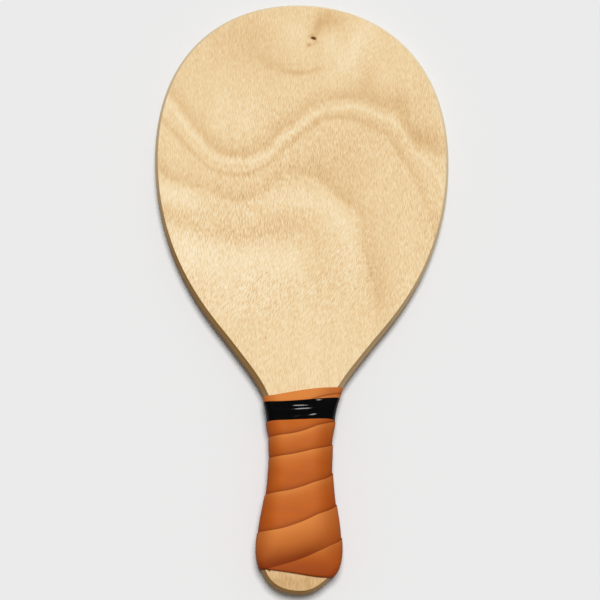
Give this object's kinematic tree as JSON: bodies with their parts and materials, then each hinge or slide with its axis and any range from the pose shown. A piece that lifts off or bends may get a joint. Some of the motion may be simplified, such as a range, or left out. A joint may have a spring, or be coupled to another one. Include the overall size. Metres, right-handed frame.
{
  "type": "beach paddle",
  "caption": "Wooden beach paddle with a rounded plywood blade tapering to a handle wound with padded grip tape and a band of black tape.",
  "frame": {"origin": "middle of the length and width, at the lowest point of the grip, with the paddle lying face up", "axes": "+X across the blade, +Y along the paddle from the butt to the tip, +Z out of the front face"},
  "size_m": [0.215, 0.44, 0.0284],
  "materials": {
    "face_veneer": "clear satin lacquer on pale figured veneer",
    "brown_ply": "sanded brown ply edge",
    "tan_ply": "sanded tan ply edge",
    "cheek_wood": "raw softwood under the grip",
    "grip": "smooth padded orange-brown grip strip with a soft sheen",
    "black_tape": "glossy black vinyl tape"
  },
  "bodies": {
    "root": {"front_face_veneer": "face_veneer", "back_face_veneer": "face_veneer", "front_crossband": "brown_ply", "back_crossband": "brown_ply", "core_ply": "brown_ply", "front_long_ply": "tan_ply", "back_long_ply": "tan_ply", "front_handle_cheek": "cheek_wood", "back_handle_cheek": "cheek_wood", "grip_tape": "grip", "finishing_tape": "black_tape"}
  },
  "joints": []
}
